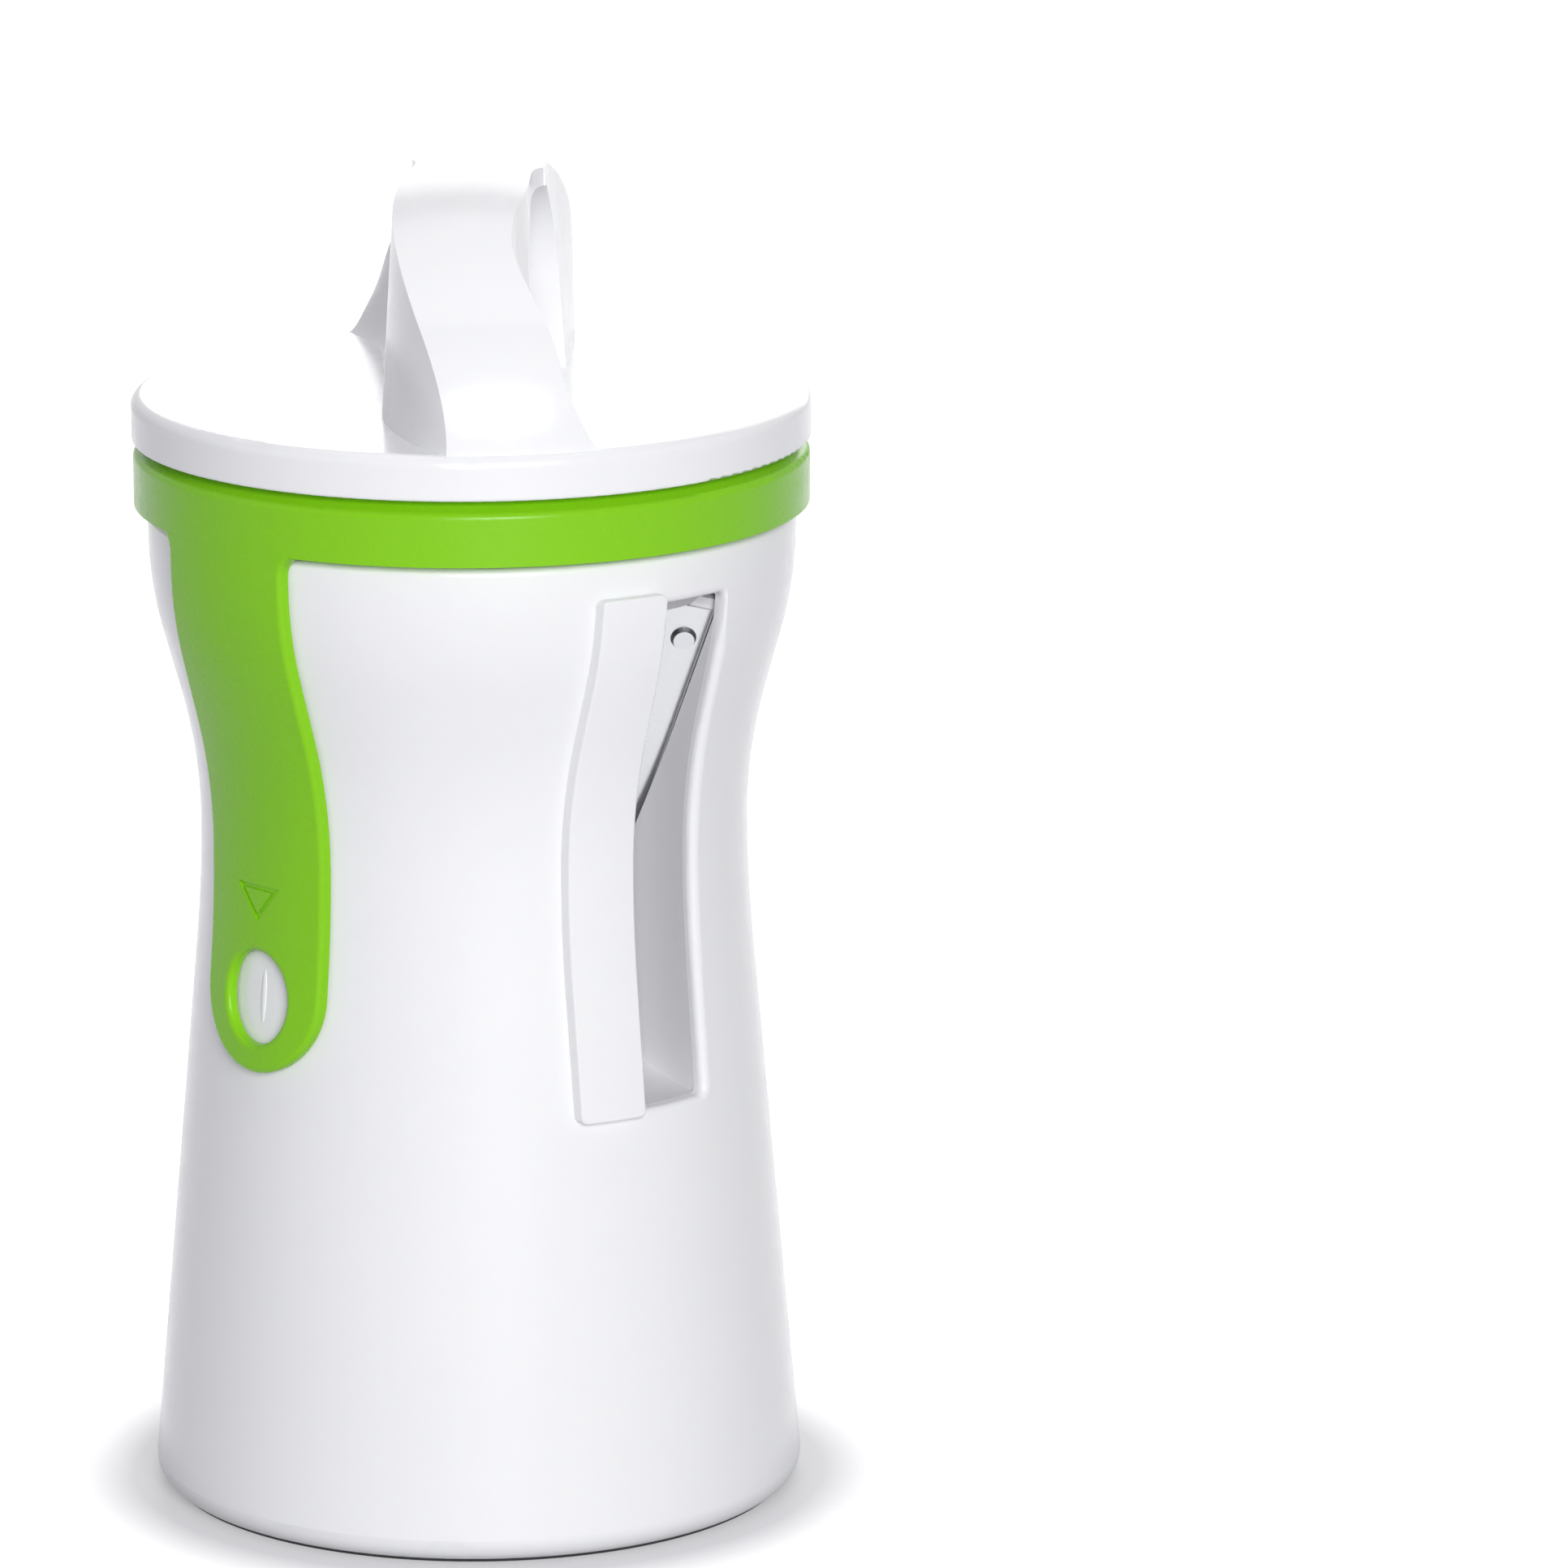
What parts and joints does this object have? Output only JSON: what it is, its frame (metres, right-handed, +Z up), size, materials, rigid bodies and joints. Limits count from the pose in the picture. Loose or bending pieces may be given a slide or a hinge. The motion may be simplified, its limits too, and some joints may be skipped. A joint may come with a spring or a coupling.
{
  "type": "hand spiralizer",
  "caption": "Hand-held vegetable spiralizer: a waisted white shell with slicing outlets, a green collar that turns the blade cone, and a white pinned food holder with a ribbon handle.",
  "frame": {"origin": "centre of the base, on the surface the spiralizer stands on", "axes": "+Z up along the axis that the food holder turns on, -Y out of the front outlet, the collar's straps on +X and -X"},
  "size_m": [0.1004, 0.1004, 0.2003],
  "materials": {
    "white_abs": "glossy white ABS",
    "green_abs": "glossy apple green ABS",
    "guard_white": "glossy white ABS guard",
    "foot_rubber": "matt dark grey rubber",
    "blade_steel": "ground stainless steel",
    "pin_steel": "drawn stainless steel",
    "inner_abs": "satin white ABS"
  },
  "bodies": {
    "body": {"outer_shell": "white_abs", "foot_ring": "foot_rubber", "front_chute": "inner_abs", "front_hood": "guard_white", "rear_chute": "inner_abs", "rear_hood": "guard_white", "detent_spring": "pin_steel", "spring_screw": "pin_steel"},
    "selector": {"collar": "green_abs", "blade_cone": "inner_abs", "corer": "blade_steel", "noodle_blade": "blade_steel", "noodle_comb": "blade_steel", "ribbon_blade": "blade_steel", "fine_blade": "blade_steel", "fine_comb": "blade_steel", "curl_blade": "blade_steel", "curl_comb": "blade_steel", "blade_rivets": "pin_steel"},
    "holder": {"glide_ring": "inner_abs"},
    "cap": {"cap": "white_abs", "pin_plate": "inner_abs", "holder_pins": "pin_steel", "centre_spike": "pin_steel", "plate_screws": "pin_steel"}
  },
  "joints": [
    {"name": "selector_turn", "type": "hinge", "parent": "body", "child": "selector", "pos_m": [0, 0, 0.146], "axis": [0, 0, 1], "range_deg": [0, 45]},
    {"name": "holder_lift", "type": "slide", "parent": "selector", "child": "holder", "axis": [0, 0, 1], "range_m": [0, 0.06]},
    {"name": "holder_turn", "type": "hinge", "parent": "holder", "child": "cap", "pos_m": [0, 0, 0.158], "axis": [0, 0, 1], "continuous": true}
  ]
}
